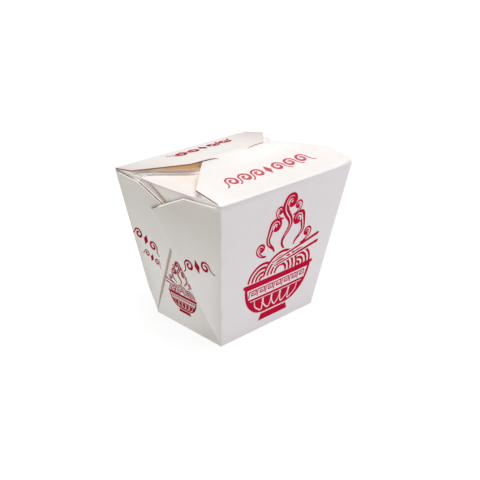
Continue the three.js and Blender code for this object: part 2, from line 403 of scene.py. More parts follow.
def front_flap_top(x, y):
    """The front flap's height where nothing holds it: it springs off its fold and levels out."""
    reach = max(y + HALF_TOP_Y, 0)
    right = rightness(x)
    fold = (0.2 + 0.9 * (1 - right) ** 5 + 0.55 * right ** 4) * (1 - exp(-reach / 0.8))
    turn = min(reach / (40 + 4 * right), 1) * (pi / 2)
    corner = 1.5 * smooth(0.88, 1, right) * exp(-reach / 6) * (1 - exp(-reach / 0.4))
    return (HEIGHT + fold + corner
            + (5.0 + 2.4 * right) * sin(turn) ** (1.15 - 0.15 * right))


def rear_flap_slope(x, y):
    """The rear flap's height, straight up from its fold."""
    reach = max(HALF_TOP_Y - y, 0)
    right = rightness(x)
    fold = (0.9 * right - 0.1) * (1 - smooth(0.88, 1, right)) * (1 - exp(-reach))
    return HEIGHT + fold + (0.152 + 0.021 * sin(pi / 2 * right)) * reach


def on_tongue(x):
    """1 over the tongue, falling to 0 a little way beyond its sides."""
    middle, half = sum(TONGUE_SIDES) / 2, (TONGUE_SIDES[1] - TONGUE_SIDES[0]) / 2
    return smooth(half + 2.5, half - 2, abs(x - middle))


def front_flap_z(x, y):
    """The front flap is held down where the rear one lies on it, and free over the tongue."""
    free = front_flap_top(x, y)
    held = min(free, rear_flap_slope(x, y) - LID_BOARD - LID_GAP)
    return mix(free, held, smooth(0, 3, y) * (1 - on_tongue(x)))


def rear_flap_z(x, y):
    """The rear flap's tongue dives under the front flap's lip."""
    shoulder = HALF_TOP_Y - REAR_FLAP_REACH
    under = front_flap_top(x, y) - LID_BOARD - TONGUE_GAP
    dive = smooth(shoulder + 1.5, shoulder - 3.2, y) * on_tongue(x)
    return mix(rear_flap_slope(x, y), min(under, rear_flap_slope(x, y)), dive)


def wide_place(a, v, web, flap_z, out):
    """Where a point of the front sheet lies, for out -1, or of the rear one, for out 1."""
    def wall(q):
        point = wrap(a, q, web)
        return Vector((point.x, -out * point.y, point.z))

    def flap(q):
        y = out * (HALF_TOP_Y - q)
        return Vector((a, y, flap_z(a, y)))

    if v < BASE_FOLD and abs(a) < HALF_BASE_X:
        return bend(lambda q: Vector((a, out * (HALF_BASE_Y + q), 0)), wall, v, BASE_FOLD)
    if v < WALL - LID_FOLD or abs(a) > HALF_TOP_X + 0.3 and v < WALL:
        return wall(v)
    return bend(lambda q: wall(WALL + q), flap, v - WALL, LID_FOLD)


def front_place(a, v):
    return wide_place(a, v, FRONT_WEB, front_flap_z, -1)


def rear_place(a, v):
    return wide_place(a, v, REAR_WEB, rear_flap_z, 1)


# ---- meshes ----

def ring(outline, spacing):
    """The outline with points added, so that none lie further apart than spacing."""
    points = []
    for start, end in zip(outline, outline[1:] + outline[:1]):
        start, end = Vector(start), Vector(end)
        count = max(1, ceil((end - start).length / spacing))
        points += [start.lerp(end, k / count) for k in range(count)]
    return points


def filled(outlines, rows, spacing):
    """Triangles that fill outlines of a flat sheet, with edges along the given rows of points.

    Returns the points, the triangles, and for each triangle the numbers of the outlines round it.
    """
    points, edges, loops = [], [], []
    for outline in outlines:
        first = len(points)
        points += [Vector(point) for point in outline]
        loops.append(list(range(first, len(points))))
    for row in rows:
        first = len(points)
        points += [Vector(point) for point in row]
        edges += [(k, k + 1) for k in range(first, len(points) - 1)]
    near = kdtree.KDTree(len(points))
    for k, point in enumerate(points):
        near.insert(point.to_3d(), k)
    near.balance()
    low, high = ([pick(point[axis] for point in points) for axis in (0, 1)] for pick in (min, max))
    for i in range(int((high[0] - low[0]) / spacing) + 1):
        for j in range(int((high[1] - low[1]) / spacing) + 1):
            point = Vector((low[0] + (i + 0.5) * spacing, low[1] + (j + 0.5) * spacing))
            if near.find(point.to_3d())[2] > 0.45 * spacing:
                points.append(point)
    points, _, faces, _, _, origins = delaunay_2d_cdt(points, edges, loops, 0, 1e-5)
    return points, *zip(*((face, origin) for face, origin in zip(faces, origins) if origin))


def facing(place, point, flip):
    """The sheet's outward direction at a point."""
    a, v = point
    tiny = 0.04
    normal = (place(a + tiny, v) - place(a - tiny, v)).cross(
        place(a, v + tiny) - place(a, v - tiny)).normalized()
    return -normal if flip else normal


def used_by(triangles):
    return sorted({k for face in triangles for k in face})


def slab(name, points, triangles, place, front, back, flip, rim, cover):
    """A closed thin body over triangles of the flat sheet, from back(v) to front of its face.

    rim(a, v) gives the finish of the side that closes it at a point of its outline, and
    cover(a, v) the finishes of its face and back.
    """
    used = used_by(triangles)
    number = {k: i for i, k in enumerate(used)}
    count = len(used)
    outer, inner = [], []
    for k in used:
        spot, normal = place(*points[k]), facing(place, points[k], flip)
        outer.append((spot + normal * front) * MM)
        inner.append((spot + normal * back(points[k].y)) * MM)
    faces, kinds, sides = [], [], []
    for face in triangles:
        i, j, k = (number[n] for n in face)
        if flip:
            i, k = k, i
        faces += [(i, j, k), (k + count, j + count, i + count)]
        middle = sum((points[n] for n in face), Vector((0, 0))) / 3
        kinds += cover(*middle)
        sides += [(i, j), (j, k), (k, i)]
    shared = set(sides)
    for i, j in sides:
        if (j, i) not in shared:
            faces.append((i, i + count, j + count, j))
            middle = (points[used[i]] + points[used[j]]) / 2
            kinds.append(rim(*middle))
    mesh = bpy.data.meshes.new(name)
    mesh.from_pydata(outer + inner, [], faces)
    mesh.polygons.foreach_set("material_index", kinds)
    mesh.shade_smooth()
    mesh.set_sharp_from_angle(angle=SHARP)
    return add_object(name, mesh)


def board_piece(name, outline, rows, place, flip=False, web=None):
    """A sheet with its finishes and painted tones; a narrow side's sheet has no web."""
    def rim(a, v):
        if v < WEB_START:
            return FACE  # the sheets meet at the folds round the base
        return web.rim(a, v) if web else CUT

    def cover(a, v):
        if web is None or v > WALL:
            return FACE, LID_INSIDE if web else INSIDE
        if abs(a) < web.corner_at(v) + 1:
            return FACE, INSIDE
        return web.face_finish(a, v), INSIDE if web is FRONT_WEB else web.strip_finish(a, v)

    def back(v):
        return -mix(BOARD, LID_BOARD, smooth(WALL + 1, WALL + 6, v)) if web else -BOARD

    points, triangles, _ = filled([ring(outline, STEP)], rows, STEP)
    piece = slab(name, points, triangles, place, 0, back, flip, rim, cover)
    for tone, tone_at in (("shade", shade_at), ("depth", shade_depth_at), ("glow", glow_at)):
        values = [tone_at(web, *points[k]) for k in used_by(triangles)]
        attribute = piece.data.attributes.new(tone, "FLOAT", "POINT")
        attribute.data.foreach_set("value", values + values)
    return piece


# ---- painted tones ----
#
# a and v as before, and q how far beyond the lid's fold a point lies: smooth falls of shade and
# light that a render of thin board doesn't give, from 0 to 1.

def past_front_flap(x, y):
    """How far a point of the lid lies outside the front flap's slanting left edge."""
    return behind(FRONT_FLAP_NEAR, FRONT_FLAP_FAR, x, y)


def past_rear_flap(x, y):
    """The same for the rear flap; it is below 0 under the flap."""
    return behind((LOCK_CENTRE - SHOULDER_HALF, HALF_TOP_Y - REAR_FLAP_REACH),
                  (-HALF_TOP_X, HALF_TOP_Y - REAR_FLAP_SIDE), x, y)


def small_flap_shade(a, q):
    """Towards a small flap's far end, and beside the front flap."""
    beside = 0.45 * smooth(4.5, 2, past_front_flap(q - HALF_TOP_X, a)) * smooth(1, 7, q)
    return (0.6 * smooth(6, 17, q) + beside) * smooth(0.1, -0.6, past_score(a, q))


def narrow_wall_shade(a, v):
    """Towards a narrow wall's foot and its top, and beside the front web."""
    beside = 0.55 * exp(-max(FRONT_WEB.past_fold((-a, v)), 0) / 9) * smooth(75, 25, v)
    foot = (0.3 + 1.5 * smooth(5, -28, a)) * exp(-max(v, 0) / 11)
    return max(foot, 0.1 * smooth(62, 80, v), beside)


def lid_flap_shade(web, a, q):
    """In a lid flap's fold, and on the front flap near it."""
    fold = exp(-max(-0.3 - q, 0) / 0.9 - max(q + 0.3, 0) / 0.25)
    near = 0.07 * smooth(30, 22, q) + 0.11 * smooth(16, 4, q) if web is FRONT_WEB else 0
    return max(mix(1.0, 0.3, rightness(a)) * fold, near * smooth(-46, -30, a))


def shade_at(web, a, v):
    """How far the board is toned down, where folds and the foot gather shade."""
    if web is None:
        return small_flap_shade(a, v - WALL) if v > WALL else narrow_wall_shade(a, v)
    past = abs(a) - web.corner_at(v)
    if v > WALL - 2:
        return lid_flap_shade(web, a, v - WALL) if past < 0 else 0.5
    foot = 0.35 * exp(-max(v, 0) / 5)
    if past < 0:
        return max(foot, 0.12 * smooth(30, 80, v))
    crease = FRONT_WEB.past_fold((half_depth(v) - past, v)) if web is FRONT_WEB else 9
    corner = 0.7 * exp(-past / mix(5, 11, smooth(40, 75, v)))
    high = (1.0 if web is FRONT_WEB else 0.8) * smooth(25, 80, v)
    return max(foot, corner, high) * (1 - 0.5 * exp(-crease * crease))


def small_flap_shade_depth(a, q):
    """Painted shade: grey at a small flap's crease and scores, then tan and orange under the lid's
    flaps.
    """
    x, score = q - HALF_TOP_X, past_score(a, q)
    plain = 0.045 + 0.012 * smooth(5, -15, a)
    crease = exp(-(q / 0.25) ** 2) * smooth(-30, -14, a) * smooth(20, 13, a)
    raised = mix(0.25, 0.14, smooth(0.2, 0.3, score)) if score < 0.45 else 0.3
    raised *= smooth(-0.2, 0, score) * smooth(0, 0.6, q) * smooth(-32, -20, a)
    raised *= mix(1, 0.5, smooth(16, 24, q))
    to_front = past_front_flap(x, a)
    beside = mix(0.12, 0.27, smooth(-23, -26, a)) * exp(-max(to_front, 0) / 1.5)
    gap = max(rear_flap_slope(x, a) - LID_BOARD - HEIGHT - SCORE_RISE, 0.2)
    under = -past_rear_flap(x, a) / gap
    dark = 0.6 * smooth(1.0, 1.3, under) + 0.25 * smooth(2.4, 2.8, under)
    dark += 0.15 * smooth(SHADOW_STRIPE[1], SHADOW_STRIPE[0], to_front) * smooth(4, 9, a)
    return max(plain, crease, raised, beside, dark * smooth(0.6, 1.8, gap))


def shade_depth_at(web, a, v):
    """How deep in painted shade a point of the lid is; the board's material gives each depth its
    tone.
    """
    q = v - WALL
    if web is None:
        return small_flap_shade_depth(a, q) if q >= -2 else 0
    if q <= 0:
        return 0
    if web is FRONT_WEB:
        return 0.012 * smooth(0, 4, q) * smooth(44, 36, abs(a))
    return max(0.02 * smooth(14, 26, q), 0.09 * (a / HALF_TOP_X) ** 2 * (1.5 if a > 0 else 1))


def glow_at(web, a, v):
    """How much painted light is given off, for light through the flaps' thin board or over a narrow
    wall's top.
    """
    q = v - WALL
    if web is FRONT_WEB:
        return 0.07 * smooth(22, 32, q) * smooth(-30, 12, a) * smooth(66, 58, a + q)
    if web is REAR_WEB:
        return 0.035 * smooth(14, 26, q) * smooth(-36, -22, a) * smooth(32, 12, a)
    ends = 0.08 * smooth(19, 27, a) + 0.3 * smooth(-19, -25, a)
    return ends * smooth(-4, -2.5, q) * smooth(5, 1, q)


# ---- the sheets ----

def row_across(v, half):
    count = ceil(2 * half / STEP)
    return [(mix(-half, half, k / count), v) for k in range(count + 1)]


def fold_rows(web):
    """Rows of points along the base, corner, lid and diagonal folds."""
    heights = [WEB_START + 1 + k * (WALL - 3.5) / 36 for k in range(37)]
    rows = []
    for off in (-0.55, -0.3, 0, 0.3, 0.55, 1.6, 3, 4.4):
        if off < 1:  # the last three are for the webs' round corners
            rows.append(row_across(off, HALF_BASE_X - 0.6))
        rows += [[(side * (web.corner_at(v) + off), v) for v in heights] for side in (-1, 1)]
    rows += [row_across(WALL + off, HALF_TOP_X - 0.4)
             for off in (-0.9, -0.6, -0.35, -0.1, 0.15, 0.4, 0.7, 1.1, 1.6, 2.4)]
    diagonals = web.fold_rows() + web.edge_rows() + (web.inner_rows() if web is REAR_WEB else [])
    return rows + diagonals + [[(-a, v) for a, v in row] for row in diagonals]


def at_lock(end, v, *offsets):
    """Points at the lock's left end, 0, or right end, 1, by how far right of it and beyond v."""
    return [(TONGUE_SIDES[end] + a, v + beyond) for a, beyond in offsets]


def front_sheet():
    web, end = FRONT_WEB.outline(), WALL + FRONT_FLAP_REACH
    rear = -2 * HALF_BASE_Y + 0.3
    base = [(-HALF_BASE_X + 0.2, rear), (HALF_BASE_X - 0.2, rear), (HALF_BASE_X - 0.2, -0.4),
            (HALF_BASE_X, 0.2)]
    flap = [(HALF_TOP_X + 0.1, WALL + 0.1), (HALF_TOP_X - 0.1, WALL + FLAP_SIDE - 0.8)]
    slit = (at_lock(1, end, (0.7, 0), (0.5, -4.6), (0.1, -6.2), (-1.6, -6.8))
            + [(LOCK_CENTRE, end - 6.6)]
            + at_lock(0, end, (1.6, -6.4), (-0.1, -6.8), (-0.6, -4.6), (-0.7, 0)))
    outline = (base[1:] + web + flap + [(FRONT_FLAP_FAR_RIGHT, end)] + slit
               + mirror(web + flap + [(-FRONT_FLAP_FAR[0], end)]) + mirror(base[2:]) + base[:1])
    return board_piece("front_sheet", outline, fold_rows(FRONT_WEB), front_place, web=FRONT_WEB)


def rear_sheet():
    web, shoulder = REAR_WEB.outline(), WALL + REAR_FLAP_REACH
    base = [(HALF_BASE_X - 0.2, -0.6), (HALF_BASE_X, 0.2)]
    flap = [(HALF_TOP_X - 1, WALL + 0.1), (HALF_TOP_X - 1, WALL + REAR_FLAP_SIDE)]
    left_flap = [(HALF_TOP_X + 0.9, WALL + 0.1), (HALF_TOP_X + 1.3, WALL + REAR_FLAP_SIDE)]
    tongue = at_lock(1, shoulder, (9.7, 0.95), (6.7, 1.4), (4.5, 1.9), (2.9, 2.5), (1.6, 3.2),
                     (0.6, 4), (-0.1, 4.8), (-0.2, TONGUE_LENGTH - 2), (-2.5, TONGUE_LENGTH))
    tongue += at_lock(0, shoulder, (2.5, TONGUE_LENGTH), (0.2, TONGUE_LENGTH - 2), (0.1, 4.6),
                      (-0.8, 3.6), (-1.7, 2.4), (-3.3, 1.2), (-7, 0.1))
    outline = (base + web + flap + [(LOCK_CENTRE + SHOULDER_HALF - 2, shoulder + 0.9)] + tongue
               + [(LOCK_CENTRE - SHOULDER_HALF, shoulder - 1.2)] + mirror(base + web + left_flap))
    return board_piece("rear_sheet", outline, fold_rows(REAR_WEB), rear_place, flip=True,
                       web=REAR_WEB)


def score_line(q, rear):
    """How far from the middle a small flap's front or rear score is, at reach q from its fold."""
    straight = SCORE_CORNER[rear] - SCORE_SLANT[rear] * q - 1
    return 1 + (straight + hypot(straight, 1.2)) / 2


def past_score(b, q):
    """How far a small flap's point lies outside its scores."""
    return (abs(b) - score_line(q, b > 0)) / hypot(1, SCORE_SLANT[b > 0])


def side_place(side, b, v):
    """A narrow wall and its small flap, on the left for side -1; b runs to the rear."""
    inset = 0.05
    sag = CREASE_SAG * smooth(-34, 8, b) * smooth(30, 9, b)

    def wall(q):
        q -= sag * smooth(WALL - 12, WALL, q)
        return Vector((side * (half_width(q) - inset), b, HEIGHT * q / WALL))

    def flap(q):
        x = side * (half_width(WALL - sag) - inset - q)
        rise = SCORE_RISE * smooth(0, 0.4, past_score(b, q))
        rise *= smooth(0, 1.2, q) * smooth(36, 24, b)
        sunk = 0.25 * smooth(0, 14, q) + sag * smooth(6, 0, q)
        lid = min(front_flap_top(x, b), rear_flap_slope(x, b)) - LID_BOARD
        return Vector((x, b, min(HEIGHT + rise - sunk, lid - SMALL_FLAP_GAP)))

    if v < BASE_FOLD:
        return bend(lambda q: Vector((side * (HALF_BASE_X - inset + q), b, 0)), wall, v, BASE_FOLD)
    return bend(lambda q: wall(WALL + q), flap, v - WALL, SMALL_FLAP_FOLD)


def side_sheet(name, side):
    foot, top = HALF_BASE_Y - 0.3, HALF_TOP_Y - 0.7
    half = [(foot, -0.5), (top, WALL - 0.2), (top - 0.6, WALL + 1.5),
            (SMALL_FLAP_END, WALL + SMALL_FLAP_REACH)]
    rows = [row_across(v, HALF_BASE_Y - 1) for v in (-0.3, 0, 0.3, 0.55)]
    rows += [row_across(WALL + off, top - 1)
             for off in (-0.6, -0.3, -0.15, 0, 0.15, 0.3, 0.6, 1.4, 2.5)]
    for off in (-0.4, -0.05, 0.1, 0.2, 0.3, 0.45, 0.9):
        for end in (-1, 1):
            beside = off * hypot(1, SCORE_SLANT[end > 0])
            rows.append([(end * (score_line(q, end > 0) + beside), WALL + q)
                         for q in (3.2 + 1.3 * k for k in range(24))])
    far = Vector(FRONT_FLAP_FAR)
    along = (far - Vector(FRONT_FLAP_NEAR)).normalized()
    for off in SHADOW_STRIPE:
        row = [far + off * left_of(along) + along * (k - 36) for k in range(39)]
        rows.append([(y, WALL + HALF_TOP_X + x) for x, y in row])
    piece = board_piece(name, half + mirror(half), rows, lambda b, v: side_place(side, b, v),
                        flip=side < 0)
    if side > 0:  # light reaches in over the right flap's far end
        for vertex, depth in zip(piece.data.vertices, piece.data.attributes["depth"].data):
            depth.value *= mix(1, 0.17, smooth(32, 38, vertex.co.x / MM))
    return piece


# ---- the print ----
#
# Flat artwork in millimetres: outlines on one another, each of ink or left bare.

INK, BARE = True, False


def polar(x, y, radius, angle):
    return x + radius * cos(angle), y + radius * sin(angle)


def disc(x, y, radius):
    return [polar(x, y, radius, 2 * pi * k / 26) for k in range(26)]


def flowing(points, steps=8):
    """A smooth line through points."""
    line = []
    for k in range(len(points) - 1):
        a, b, c, d = (points[min(max(k + n, 0), len(points) - 1)] for n in (-1, 0, 1, 2))
        for step in range(steps):
            t = step / steps
            line.append(tuple(
                b[i] + t * (c[i] - a[i]) / 2 + t * t * (a[i] - 2.5 * b[i] + 2 * c[i] - d[i] / 2)
                + t ** 3 * (1.5 * (b[i] - c[i]) + (d[i] - a[i]) / 2) for i in (0, 1)))
    return line + [tuple(points[-1])]


def stroke(line, start, middle, end):
    """A brush stroke's outline along a line, with its width at three places."""
    left, right = [], []
    last = len(line) - 1
    for k, (x, y) in enumerate(line):
        before, after = line[max(k - 1, 0)], line[min(k + 1, last)]
        dx, dy = after[0] - before[0], after[1] - before[1]
        t = 2 * k / last
        width = mix(start, middle, t) if t < 1 else mix(middle, end, t - 1)
        half = width / 2 / hypot(dx, dy)
        dx, dy = dx * half, dy * half
        if k == 0:
            left.append((x - dx, y - dy))
        left.append((x - dy, y + dx))
        right.append((x + dy, y - dx))
        if k == last:
            left.append((x + dx, y + dy))
    return left + right[::-1]


def spiral(x, y, radius, start, turns, end):
    """A line that winds inwards, from start in degrees to the share end of its radius."""
    count = max(8, ceil(abs(turns) * 18))
    line = []
    for k in range(count + 1):
        t = k / count
        r = radius * (1 - (1 - end) * t ** 0.9)
        line.append(polar(x, y, r, radians(start) + 2 * pi * turns * t))
    return line


def bar(start, end, width):
    """A straight bar with square ends that reach half its width past start and end."""
    dx, dy = end[0] - start[0], end[1] - start[1]
    size = hypot(dx, dy)
    ux, uy = dx / size * width / 2, dy / size * width / 2
    return [(start[0] - ux + uy, start[1] - uy - ux), (end[0] + ux + uy, end[1] + uy - ux),
            (end[0] + ux - uy, end[1] + uy + ux), (start[0] - ux - uy, start[1] - uy + ux)]


def both_sides(shapes):
    return shapes + [(ink, [(-x, y) for x, y in outline]) for ink, outline in shapes]


def fret(x, y, size):
    """One turn of a key fret, as thin bars."""
    path = [(-3.1, -1.9), (-3.1, 1.9), (1.9, 1.9), (1.9, -0.9), (-1.2, -0.9), (-1.2, 0.5),
            (0.4, 0.5)]
    at = [(x + size * px, y + size * py) for px, py in path]
    return [(INK, bar(a, b, 0.75 * size)) for a, b in zip(at, at[1:])]


def bowl():
    profile = flowing([(9.4, 5.2), (14.6, 6.9), (19.4, 10.8), (22.6, 15.6), (24.3, 20.8),
                       (25, 25.6)])
    shapes = [(INK, [(-11, 0), (11, 0), (9.6, 4.3), (-9.6, 4.3)]),
              (INK, mirror(profile) + profile),
              (BARE, [(-21.2, 17), (21.2, 17), (22.9, 23.4), (-22.9, 23.4)]),
              (INK, [(-26, 24.9), (26, 24.9), (26.2, 27), (-26.2, 27)])]
    for k in range(-3, 4):
        shapes += fret(6.1 * k + 0.3, 20.2, 0.98)
    for k in range(-2, 3):
        x, lean = 7.2 * k, 1.9 * k
        petal = flowing([(x - 3 - 0.3 * lean, 14.6), (x - 2.6 - 0.5 * lean, 10.6),
                         (x * 0.72, 7.2), (x + 2.6 - 0.5 * lean, 10.6), (x + 3 - 0.3 * lean, 14.6)])
        shapes.append((BARE, stroke(petal, 0.6, 0.85, 0.6)))
    shapes.append((BARE, stroke([(-19.5, 15.4), (0, 15.2), (19.5, 15.4)], 0.5, 0.5, 0.5)))
    return shapes


def noodles():
    """Strands heaped over the rim, as nested arcs."""
    shapes = []
    for x, y, radius in ((-13.5, 27.6, 9.6), (13.5, 27.6, 9.6), (0, 28.2, 12.2)):
        shapes.append((BARE, disc(x, y, radius + 0.9)))
        for strand in range(4):
            arc = [polar(x, y, radius - 2.7 * strand, radians(a)) for a in range(-4, 185, 9)]
            shapes.append((INK, stroke(arc, 1.45, 1.6, 1.45)))
    return shapes


def chopsticks():
    shapes = []
    for start, end in (((-7, 35.6), (27, 43)), ((-5, 32.8), (27.5, 38))):
        line = [start, ((start[0] + end[0]) / 2, (start[1] + end[1]) / 2), end]
        shapes += [(BARE, stroke(line, 1.9, 2.7, 3.4)), (INK, stroke(line, 0.7, 1.3, 2))]
    return shapes


def wisp(points, centre, radius, start, turns, width):
    """Rising steam that winds up in a curl; the line inside it is left without ink."""
    line = flowing([*points, *spiral(*centre, radius, start, turns, 0.25)[::3]], 4)
    return [(INK, stroke(line, 1.0, width, 1.4)),
            (BARE, stroke(line[len(line) // 6:-len(line) // 3], 0.3, 0.8, 0.3))]


def steam():
    side = wisp([(7.2, 42.4), (8.4, 44.6), (10.4, 46.4), (12.2, 48.4), (12.9, 50.9), (12.4, 53.6)],
                (8.2, 57.4), 3.6, -16, 1.3, 4.4)
    low = wisp([(13, 41.2), (15.2, 41.7), (17.4, 43.1)], (17.2, 46.6), 2.6, -52, 1.2, 3.2)
    middle = wisp([(0, 42.4), (-1.7, 44.5), (-2.1, 47.4), (-0.6, 50.3), (1.5, 53.1), (2.4, 56.2),
                   (1.4, 59.3), (-0.8, 62.2), (-2.6, 65.3)], (1.1, 69.2), 3.9, 188, -1.3, 4.8)
    small = wisp([(3.8, 60.8), (5.8, 61.2), (7.8, 62.6)], (6.9, 65.6), 2.1, -34, 1.2, 2.9)
    return both_sides(side) + both_sides(low) + middle + both_sides(small)


def curl(x, radius, weight):
    """One running curl that comes up from the left and winds in."""
    tail = [(x - 1.65 * radius, -1.02 * radius), (x - 1.25 * radius, -0.8 * radius)]
    turn = spiral(x, 0, radius, 195, -1.4, 0.2)
    line = flowing(tail + turn[::2] + turn[-1:], 3)
    return (INK, stroke(line, *(share * weight * radius for share in (0.16, 0.44, 0.28))))


def ornament(length, height, curls, weight=1):
    """A band of running curls that meet at a lozenge."""
    radius = min(0.45 * height, (length / 2 - 0.26 * height) / (2.15 * curls + 0.5))
    half = [curl(-0.26 * height - radius * (1.15 + 2.15 * k), radius, weight)
            for k in range(curls)]
    wide, tall = 0.21 * height, 0.42 * height
    return [(INK, [(0, -tall), (wide, 0), (0, tall), (-wide, 0)])] + both_sides(half)


def separate(triangles):
    """The triangles with a name of its own for each point of a fan that touches others there."""
    around = {}
    for number, face in enumerate(triangles):
        for k in face:
            around.setdefault(k, []).append(number)
    named = [list(face) for face in triangles]
    for k, numbers in around.items():
        rest, fan = set(numbers), 0
        while rest:
            reached = [rest.pop()]
            for number in reached:
                near = {n for n in rest if len(set(triangles[n]) & set(triangles[number])) == 2
                        and k in triangles[n]}
                rest -= near
                reached += near
            for number in reached:
                named[number][triangles[number].index(k)] = (k, fan)
            fan += 1
    return named


def printed(name, shapes, at, place, flip):
    """The shapes' ink as a thin layer on a sheet; at(x, y) gives a point's place on it."""
    outlines = []
    for _, outline in shapes:
        flat = [Vector(at(x, y)) for x, y in outline]
        area = sum(a.x * b.y - b.x * a.y for a, b in zip(flat, flat[1:] + flat[:1]))
        outlines.append(flat if area > 0 else flat[::-1])
    points, triangles, origins = filled(outlines, [], PRINT_STEP)
    inked = [face for face, origin in zip(triangles, origins) if shapes[max(origin)][0]]
    named = separate(inked)
    number = {key: k for k, key in enumerate({key: None for face in named for key in face})}
    spots = [points[k] for k, _ in number]
    return slab(name, spots, [tuple(number[key] for key in face) for face in named], place,
                INK_HEIGHT, lambda v: -INK_HEIGHT, flip, lambda a, v: FACE,
                lambda a, v: (FACE, FACE))


def on_web(web, side, u, v, turn):
    """Where artwork lies that is centred on a web at (u, v), its x towards the middle."""
    lean = Vector((cos(turn), sin(turn)))

    def at(x, y):
        spot = Vector((u, v)) - lean * x + left_of(lean) * y
        a, up = web.across(*spot)
        return side * a, up

    return at


def prints():
    """The ink on every sheet, each piece with the name of the part of the box that it is on."""
    def centred(x, y, scale=1):
        return lambda px, py: (x + scale * px, y + scale * py)

    picture = noodles() + bowl() + chopsticks() + steam()
    rows = [
        ("wall", "front_picture", picture, centred(1.7, 6), front_place, False),
        ("wall", "rear_picture", picture, centred(1.7, 6), rear_place, True),
        ("lid", "front_flap_band", ornament(62, 9.5, 3), centred(-0.5, WALL + 15.5), front_place,
         False),
        ("side", "rear_flap_band", ornament(44, 10.5, 2, 1.35), centred(2, WALL + 12), rear_place,
         True)]
    for name, side in (("left", -1), ("right", 1)):
        rows.append(("side", f"{name}_picture", picture, centred(0.6, 9.6, 0.44),
                     lambda b, v, side=side: side_place(side, b, v), side < 0))
        for part, web, u, v, turn, length, height in (
                ("front", FRONT_WEB, 17, 46, 0.26, 24, 9.6),
                ("upper_rear", REAR_WEB, 23.5, 48, 0.36, 22, 8.4),
                ("lower_rear", REAR_WEB, 20.5, 38, 0.36, 15, 6.4)):
            rows.append(("side", f"{name}_{part}_web_band", ornament(length, height, 1),
                         on_web(web, side, u, v, turn),
                         front_place if web is FRONT_WEB else rear_place, web is REAR_WEB))
    return [(part, printed(*row)) for part, *row in rows]


# ---- materials ----

class Nodes:
    """A short way to write a material's node tree."""

    def __init__(self, name):
        self.material = bpy.data.materials.new(name)
        self.material.use_nodes = True
        self.tree = self.material.node_tree
        self.shader = self.tree.nodes["Principled BSDF"]
        self.place = self.add("ShaderNodeTexCoord").outputs["Object"]

    def add(self, kind, inputs=(), **settings):
        node = self.tree.nodes.new(kind)
        for key, value in settings.items():
            setattr(node, key, value)
        for key, value in dict(inputs).items():
            self.set(node.inputs[key], value)
        return node

    def set(self, socket, value):
        if isinstance(value, bpy.types.NodeSocket):
            self.tree.links.new(value, socket)
        else:
            socket.default_value = (*value, 1) if socket.type == "RGBA" else value

    def painted(self, tone):
        """One of a sheet's painted tones."""
        return self.add("ShaderNodeAttribute", attribute_name=tone).outputs["Fac"]

    def noise(self, size_mm, detail, roughness=0.55, stretch=(1, 1, 1)):
        """Noise whose features are about size_mm across, longer where stretch is over 1."""
        inputs = {"Vector": self.place, "Scale": tuple(1 / s for s in stretch)}
        inputs = {"Vector": self.add("ShaderNodeMapping", inputs).outputs[0],
                  "Scale": 1 / (size_mm * MM), "Detail": detail, "Roughness": roughness}
        return self.add("ShaderNodeTexNoise", inputs).outputs[0]

    def ramp(self, factor, *stops):
        node = self.add("ShaderNodeValToRGB", {"Fac": factor})
        elements = node.color_ramp.elements
        while len(elements) < len(stops):
            elements.new(0.5)
        for element, (position, color) in zip(elements, stops):
            element.position = position
            element.color = (*color, 1)
        return node.outputs[0]

    def blend(self, factor, low, high, how="MIX"):
        node = self.add("ShaderNodeMix", {0: factor, 6: low, 7: high}, data_type="RGBA",
                        blend_type=how)
        return node.outputs[2]

    def times(self, color, tone):
        return self.blend(1.0, color, tone, "MULTIPLY")

    def bump(self, *layers):
        """Bumps on one another; each layer is (height, depth in mm, strength)."""
        below = {}
        for height, depth, strength in layers:
            inputs = {"Height": height, "Distance": depth * MM, "Strength": strength, **below}
            below = {"Normal": self.add("ShaderNodeBump", inputs).outputs[0]}
        self.set(self.shader.inputs["Normal"], below["Normal"])

    def finish(self, **sockets):
        for key, value in sockets.items():
            self.set(self.shader.inputs[key.replace("_", " ")], value)
        return self.material


# The tones of painted shade, by depth: white, pink, grey at a score, tan, orange under a flap,
# dark.
SHADE_DEPTH_TONES = ((0, (1, 1, 1)), (0.04, (1, 0.955, 0.95)), (0.15, (0.745, 0.67, 0.697)),
               (0.3, (0.58, 0.6, 0.61)), (0.6, (0.89, 0.82, 0.78)), (0.85, (0.86, 0.6, 0.29)),
               (1, (0.4, 0.29, 0.24)))


def board_material():
    """White clay coat under a satin film: faint fibre relief and slow, slight mottling."""
    n = Nodes("coated_board")
    mottle = n.ramp(n.noise(9, 4), (0.35, (0.755, 0.738, 0.722)), (0.65, (0.77, 0.753, 0.737)))
    fleck = n.ramp(n.noise(0.7, 5, 0.7), (0.3, (0.965, 0.962, 0.955)), (0.55, (1, 1, 1)))
    n.bump((n.noise(14, 2), 0.5, 0.35), (n.noise(1.1, 4, 0.6), 0.03, 0.5),
           (n.noise(0.25, 4, 0.7), 0.012, 0.6))
    rough = n.add("ShaderNodeMapRange", {"Value": n.noise(2.5, 4), "To Min": 0.36,
                                         "To Max": 0.5}).outputs[0]
    # painted shade: the sheet's shade and depth tones darken and tint the board's colour
    painted_shade = n.blend(n.painted("shade"), (1, 1, 1), (0.79, 0.76, 0.715))
    painted_shade = n.times(painted_shade, n.ramp(n.painted("depth"), *SHADE_DEPTH_TONES))
    base = n.times(n.times(mottle, fleck), painted_shade)
    # painted light: the sheet's glow tone makes the board give off light
    return n.finish(Base_Color=base, Roughness=rough, Coat_Weight=0.12, Coat_Roughness=0.3,
                    Specular_IOR_Level=0.42, Emission_Color=(0.98, 1, 0.98),
                    Emission_Strength=n.painted("glow"))


